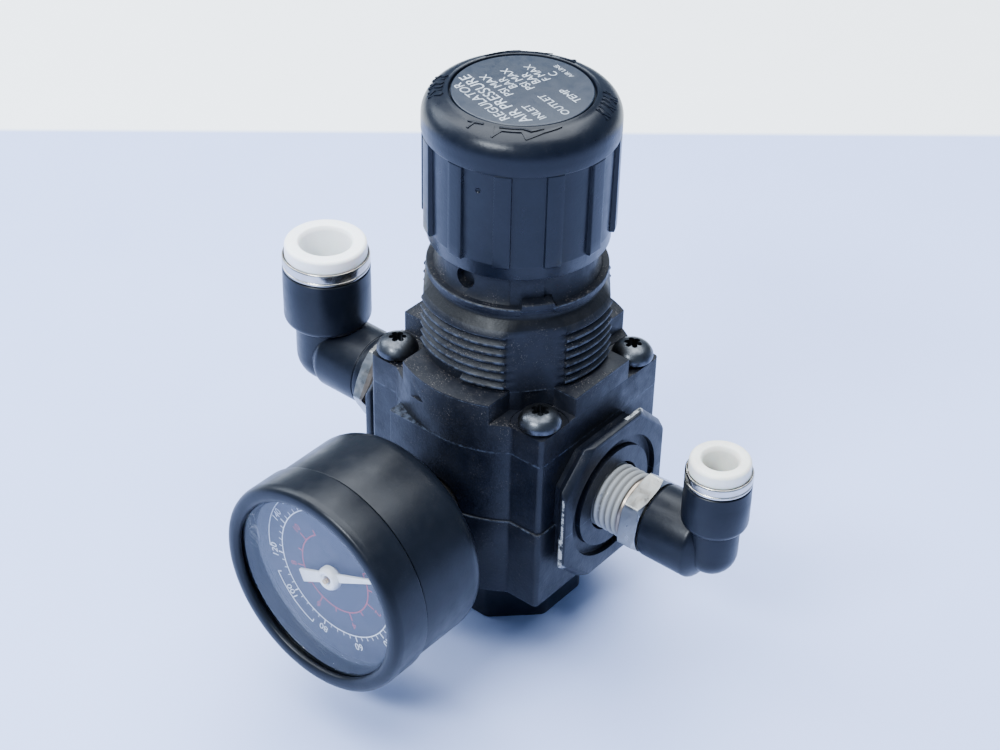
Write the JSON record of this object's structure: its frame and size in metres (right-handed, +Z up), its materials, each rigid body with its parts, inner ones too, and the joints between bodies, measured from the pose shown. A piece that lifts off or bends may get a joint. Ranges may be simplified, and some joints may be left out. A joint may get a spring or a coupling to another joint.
{
  "type": "air pressure regulator",
  "caption": "Modular air pressure regulator: cast body, threaded bonnet, push-lock adjusting knob, dial gauge in front and a swivelling push-in elbow at each side.",
  "frame": {"origin": "centre of the underside of the bottom plug, on the regulator's main axis", "axes": "+Z up along the main axis, +X towards the outlet port, -X towards the inlet port, -Y towards the gauge"},
  "size_m": [0.1102, 0.0788, 0.1097],
  "materials": {
    "black_cast": "satin black paint on a die casting",
    "black_plastic": "satin moulded black",
    "black_fitting": "semi-gloss moulded black",
    "nickel": "electroless nickel on brass",
    "steel": "zinc plated",
    "brass": "bare",
    "white_plastic": "satin moulded white",
    "rubber": "matt",
    "silver_print": "printed film, grey",
    "dial_paint": "matt dark dial",
    "pointer_paint": "white paint",
    "clear_plastic": "clear window"
  },
  "bodies": {
    "housing": {"body_casting": "black_cast", "bottom_plug": "black_plastic", "plug_o_ring": "rubber", "valve_seat": "brass", "rear_port_plug": "steel", "bonnet": "black_plastic", "diaphragm": "rubber", "thrust_washer": "white_plastic", "bonnet_screw_1": "steel", "bonnet_screw_2": "steel", "bonnet_screw_3": "steel", "bonnet_screw_4": "steel", "range_spring": "steel", "valve_spring": "steel", "gauge_socket": "nickel", "gauge_case": "black_plastic", "gauge_bezel": "black_plastic", "gauge_lens": "clear_plastic", "gauge_dial": "dial_paint", "bourdon_tube": "brass", "hairspring": "brass", "movement_rear_plate": "brass", "movement_front_plate": "brass", "sector_arbor": "steel", "inlet_stem": "nickel", "inlet_swivel_o_ring": "rubber", "outlet_stem": "nickel", "outlet_swivel_o_ring": "rubber"},
    "spindle": {"adjusting_screw": "steel", "snap_ring": "steel"},
    "knob": {"knob": "black_plastic", "knob_label": "silver_print"},
    "nut": {"spring_rest": "brass"},
    "diaphragm_group": {"diaphragm_plate": "steel", "diaphragm_seat": "brass"},
    "valve": {"valve_stem": "brass", "valve_disc": "rubber"},
    "sector": {"sector_gear": "brass"},
    "pointer": {"gauge_pointer": "pointer_paint", "pointer_pinion": "brass"},
    "link": {"gauge_link": "brass"},
    "inlet_elbow": {"inlet_elbow": "black_fitting", "inlet_tube_seal": "rubber", "inlet_lock_claw": "steel", "inlet_guide_ring": "nickel"},
    "inlet_release": {"inlet_release_ring": "white_plastic"},
    "outlet_elbow": {"outlet_elbow": "black_fitting", "outlet_tube_seal": "rubber", "outlet_lock_claw": "steel", "outlet_guide_ring": "nickel"},
    "outlet_release": {"outlet_release_ring": "white_plastic"}
  },
  "joints": [
    {"name": "knob_turn", "type": "hinge", "parent": "housing", "child": "spindle", "pos_m": [0, 0, 0.08], "axis": [0, 0, -1], "range_deg": [0, 1441]},
    {"name": "knob_lock", "type": "slide", "parent": "spindle", "child": "knob", "axis": [0, 0, -1], "range_m": [0, 0.0045]},
    {"name": "nut_travel", "type": "slide", "parent": "housing", "child": "nut", "axis": [0, 0, -1], "range_m": [0, 0.005], "deforming": ["range_spring"]},
    {"name": "diaphragm_shift", "type": "slide", "parent": "housing", "child": "diaphragm_group", "axis": [0, 0, -1], "range_m": [0, 0.001], "stiffness_N_per_m": 600, "springref_m": -0.001, "deforming": ["diaphragm"]},
    {"name": "valve_shift", "type": "slide", "parent": "housing", "child": "valve", "axis": [0, 0, -1], "range_m": [0, 0.001], "stiffness_N_per_m": 300, "springref_m": -0.001, "deforming": ["valve_spring"]},
    {"name": "sector_turn", "type": "hinge", "parent": "housing", "child": "sector", "pos_m": [0.00613, -0.0455, 0.02169], "axis": [0, -1, 0], "range_deg": [0, 44.2], "stiffness_Nm_per_rad": 0.002, "springref_deg": -5.73, "deforming": ["bourdon_tube"]},
    {"name": "pointer_turn", "type": "hinge", "parent": "housing", "child": "pointer", "pos_m": [0, -0.0455, 0.0323], "axis": [0, 1, 0], "range_deg": [0, 266], "deforming": ["hairspring"]},
    {"name": "link_pivot", "type": "hinge", "parent": "sector", "child": "link", "pos_m": [0.00817, -0.0438, 0.01814], "axis": [0, -1, 0], "range_deg": [-44.3, 0]},
    {"name": "inlet_swivel", "type": "hinge", "parent": "housing", "child": "inlet_elbow", "pos_m": [-0.04, 0, 0.033], "axis": [1, 0, 0], "continuous": true},
    {"name": "inlet_release_press", "type": "slide", "parent": "inlet_elbow", "child": "inlet_release", "axis": [0, 0, -1], "range_m": [0, 0.0008], "stiffness_N_per_m": 400, "springref_m": -0.0005},
    {"name": "outlet_swivel", "type": "hinge", "parent": "housing", "child": "outlet_elbow", "pos_m": [0.038, 0, 0.033], "axis": [1, 0, 0], "continuous": true},
    {"name": "outlet_release_press", "type": "slide", "parent": "outlet_elbow", "child": "outlet_release", "axis": [0, 0, -1], "range_m": [0, 0.0009], "stiffness_N_per_m": 400, "springref_m": -0.0005}
  ],
  "couplings": [
    {"joint": "knob_turn", "follows": "nut_travel", "rad_per_m": 5026.5},
    {"joint": "valve_shift", "follows": "diaphragm_shift", "ratio": 1},
    {"joint": "pointer_turn", "follows": "sector_turn", "ratio": 6},
    {"joint": "link_pivot", "follows": "sector_turn", "ratio": -1}
  ]
}
